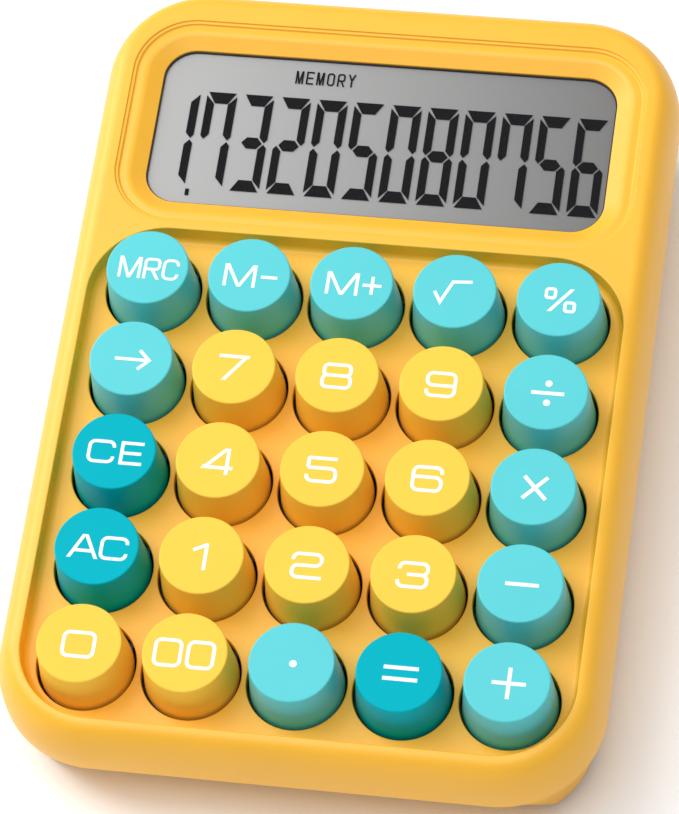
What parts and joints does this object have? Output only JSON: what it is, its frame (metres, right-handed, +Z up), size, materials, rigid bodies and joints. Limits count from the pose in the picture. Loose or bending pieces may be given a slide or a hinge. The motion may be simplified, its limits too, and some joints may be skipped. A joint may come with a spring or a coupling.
{
  "type": "desk calculator",
  "caption": "Desk calculator with round raised keys in a sunken keypad, a wide liquid crystal display and a wedge-shaped two-shell case.",
  "frame": {"origin": "middle of the bounding box, on the plane the feet stand on", "axes": "+X to the user's right, +Y from the user to the display, +Z up"},
  "size_m": [0.1098, 0.1583, 0.0376],
  "materials": {
    "case_plastic": "fine satin moulding",
    "key_yellow": "satin moulding",
    "key_pale_teal": "satin moulding",
    "key_deep_teal": "satin moulding",
    "foot_rubber": "moulded",
    "window_acrylic": "polished",
    "lcd_glass": "polished",
    "lcd_film": "grey reflector film",
    "holder_plastic": "moulded",
    "zebra_rubber": "striped elastomer",
    "board_laminate": "solder mask",
    "ribbon_film": "flat flexible film",
    "chip_resin": "moulded resin",
    "capacitor_sleeve": "shrink sleeve",
    "connector_nylon": "nylon",
    "switch_base_plastic": "moulded",
    "switch_top_plastic": "moulded",
    "spring_steel": "nickel plated",
    "steel_plate": "zinc plated",
    "contact_brass": "stamped",
    "cell_jacket": "printed sleeve, no text",
    "lead_red": "insulation",
    "lead_black": "insulation"
  },
  "bodies": {
    "case": {"top_case": "case_plastic", "bottom_case": "case_plastic", "rubber_feet": "foot_rubber", "display_window": "window_acrylic", "lcd_front_glass": "lcd_glass", "lcd_rear_glass": "lcd_glass", "lcd_reflector": "lcd_film", "lcd_holder": "holder_plastic", "zebra_strip": "zebra_rubber", "display_board": "board_laminate", "ribbon_cable": "ribbon_film", "main_board": "board_laminate", "controller_chip": "chip_resin", "capacitors": "capacitor_sleeve", "crystal": "steel_plate", "battery_connector": "connector_nylon", "switch_lower_housings": "switch_base_plastic", "switch_upper_housings": "switch_top_plastic", "switch_springs": "spring_steel", "switch_contacts": "contact_brass", "aaa_cell": "cell_jacket", "battery_spring": "spring_steel", "battery_plate": "spring_steel", "battery_lead_red": "lead_red", "battery_lead_black": "lead_black", "case_screws": "steel_plate", "board_screws": "steel_plate", "display_screws": "steel_plate"},
    "battery_cover": {"battery_cover": "case_plastic"},
    "key_memory_recall": {"key_memory_recall": "key_pale_teal"},
    "key_memory_minus": {"key_memory_minus": "key_pale_teal"},
    "key_memory_plus": {"key_memory_plus": "key_pale_teal"},
    "key_root": {"key_root": "key_pale_teal"},
    "key_percent": {"key_percent": "key_pale_teal"},
    "key_back": {"key_back": "key_pale_teal"},
    "key_7": {"key_7": "key_yellow"},
    "key_8": {"key_8": "key_yellow"},
    "key_9": {"key_9": "key_yellow"},
    "key_divide": {"key_divide": "key_pale_teal"},
    "key_clear_entry": {"key_clear_entry": "key_deep_teal"},
    "key_4": {"key_4": "key_yellow"},
    "key_5": {"key_5": "key_yellow"},
    "key_6": {"key_6": "key_yellow"},
    "key_times": {"key_times": "key_pale_teal"},
    "key_all_clear": {"key_all_clear": "key_deep_teal"},
    "key_1": {"key_1": "key_yellow"},
    "key_2": {"key_2": "key_yellow"},
    "key_3": {"key_3": "key_yellow"},
    "key_minus": {"key_minus": "key_pale_teal"},
    "key_0": {"key_0": "key_yellow"},
    "key_00": {"key_00": "key_yellow"},
    "key_point": {"key_point": "key_pale_teal"},
    "key_equals": {"key_equals": "key_deep_teal"},
    "key_plus": {"key_plus": "key_pale_teal"}
  },
  "joints": [
    {"name": "key_memory_recall_press", "type": "slide", "parent": "case", "child": "key_memory_recall", "axis": [0, 0.0785, -0.9969], "range_m": [0, 0.003], "stiffness_N_per_m": 150, "springref_m": -0.002, "deforming": ["switch_springs"]},
    {"name": "key_memory_minus_press", "type": "slide", "parent": "case", "child": "key_memory_minus", "axis": [0, 0.0785, -0.9969], "range_m": [0, 0.003], "stiffness_N_per_m": 150, "springref_m": -0.002, "deforming": ["switch_springs"]},
    {"name": "key_memory_plus_press", "type": "slide", "parent": "case", "child": "key_memory_plus", "axis": [0, 0.0785, -0.9969], "range_m": [0, 0.003], "stiffness_N_per_m": 150, "springref_m": -0.002, "deforming": ["switch_springs"]},
    {"name": "key_root_press", "type": "slide", "parent": "case", "child": "key_root", "axis": [0, 0.0785, -0.9969], "range_m": [0, 0.003], "stiffness_N_per_m": 150, "springref_m": -0.002, "deforming": ["switch_springs"]},
    {"name": "key_percent_press", "type": "slide", "parent": "case", "child": "key_percent", "axis": [0, 0.0785, -0.9969], "range_m": [0, 0.003], "stiffness_N_per_m": 150, "springref_m": -0.002, "deforming": ["switch_springs"]},
    {"name": "key_back_press", "type": "slide", "parent": "case", "child": "key_back", "axis": [0, 0.0785, -0.9969], "range_m": [0, 0.003], "stiffness_N_per_m": 150, "springref_m": -0.002, "deforming": ["switch_springs"]},
    {"name": "key_7_press", "type": "slide", "parent": "case", "child": "key_7", "axis": [0, 0.0785, -0.9969], "range_m": [0, 0.003], "stiffness_N_per_m": 150, "springref_m": -0.002, "deforming": ["switch_springs"]},
    {"name": "key_8_press", "type": "slide", "parent": "case", "child": "key_8", "axis": [0, 0.0785, -0.9969], "range_m": [0, 0.003], "stiffness_N_per_m": 150, "springref_m": -0.002, "deforming": ["switch_springs"]},
    {"name": "key_9_press", "type": "slide", "parent": "case", "child": "key_9", "axis": [0, 0.0785, -0.9969], "range_m": [0, 0.003], "stiffness_N_per_m": 150, "springref_m": -0.002, "deforming": ["switch_springs"]},
    {"name": "key_divide_press", "type": "slide", "parent": "case", "child": "key_divide", "axis": [0, 0.0785, -0.9969], "range_m": [0, 0.003], "stiffness_N_per_m": 150, "springref_m": -0.002, "deforming": ["switch_springs"]},
    {"name": "key_clear_entry_press", "type": "slide", "parent": "case", "child": "key_clear_entry", "axis": [0, 0.0785, -0.9969], "range_m": [0, 0.003], "stiffness_N_per_m": 150, "springref_m": -0.002, "deforming": ["switch_springs"]},
    {"name": "key_4_press", "type": "slide", "parent": "case", "child": "key_4", "axis": [0, 0.0785, -0.9969], "range_m": [0, 0.003], "stiffness_N_per_m": 150, "springref_m": -0.002, "deforming": ["switch_springs"]},
    {"name": "key_5_press", "type": "slide", "parent": "case", "child": "key_5", "axis": [0, 0.0785, -0.9969], "range_m": [0, 0.003], "stiffness_N_per_m": 150, "springref_m": -0.002, "deforming": ["switch_springs"]},
    {"name": "key_6_press", "type": "slide", "parent": "case", "child": "key_6", "axis": [0, 0.0785, -0.9969], "range_m": [0, 0.003], "stiffness_N_per_m": 150, "springref_m": -0.002, "deforming": ["switch_springs"]},
    {"name": "key_times_press", "type": "slide", "parent": "case", "child": "key_times", "axis": [0, 0.0785, -0.9969], "range_m": [0, 0.003], "stiffness_N_per_m": 150, "springref_m": -0.002, "deforming": ["switch_springs"]},
    {"name": "key_all_clear_press", "type": "slide", "parent": "case", "child": "key_all_clear", "axis": [0, 0.0785, -0.9969], "range_m": [0, 0.003], "stiffness_N_per_m": 150, "springref_m": -0.002, "deforming": ["switch_springs"]},
    {"name": "key_1_press", "type": "slide", "parent": "case", "child": "key_1", "axis": [0, 0.0785, -0.9969], "range_m": [0, 0.003], "stiffness_N_per_m": 150, "springref_m": -0.002, "deforming": ["switch_springs"]},
    {"name": "key_2_press", "type": "slide", "parent": "case", "child": "key_2", "axis": [0, 0.0785, -0.9969], "range_m": [0, 0.003], "stiffness_N_per_m": 150, "springref_m": -0.002, "deforming": ["switch_springs"]},
    {"name": "key_3_press", "type": "slide", "parent": "case", "child": "key_3", "axis": [0, 0.0785, -0.9969], "range_m": [0, 0.003], "stiffness_N_per_m": 150, "springref_m": -0.002, "deforming": ["switch_springs"]},
    {"name": "key_minus_press", "type": "slide", "parent": "case", "child": "key_minus", "axis": [0, 0.0785, -0.9969], "range_m": [0, 0.003], "stiffness_N_per_m": 150, "springref_m": -0.002, "deforming": ["switch_springs"]},
    {"name": "key_0_press", "type": "slide", "parent": "case", "child": "key_0", "axis": [0, 0.0785, -0.9969], "range_m": [0, 0.003], "stiffness_N_per_m": 150, "springref_m": -0.002, "deforming": ["switch_springs"]},
    {"name": "key_00_press", "type": "slide", "parent": "case", "child": "key_00", "axis": [0, 0.0785, -0.9969], "range_m": [0, 0.003], "stiffness_N_per_m": 150, "springref_m": -0.002, "deforming": ["switch_springs"]},
    {"name": "key_point_press", "type": "slide", "parent": "case", "child": "key_point", "axis": [0, 0.0785, -0.9969], "range_m": [0, 0.003], "stiffness_N_per_m": 150, "springref_m": -0.002, "deforming": ["switch_springs"]},
    {"name": "key_equals_press", "type": "slide", "parent": "case", "child": "key_equals", "axis": [0, 0.0785, -0.9969], "range_m": [0, 0.003], "stiffness_N_per_m": 150, "springref_m": -0.002, "deforming": ["switch_springs"]},
    {"name": "key_plus_press", "type": "slide", "parent": "case", "child": "key_plus", "axis": [0, 0.0785, -0.9969], "range_m": [0, 0.003], "stiffness_N_per_m": 150, "springref_m": -0.002, "deforming": ["switch_springs"]},
    {"name": "battery_cover_slide", "type": "slide", "parent": "case", "child": "battery_cover", "axis": [0, 1, 0], "range_m": [0, 0.03]}
  ]
}
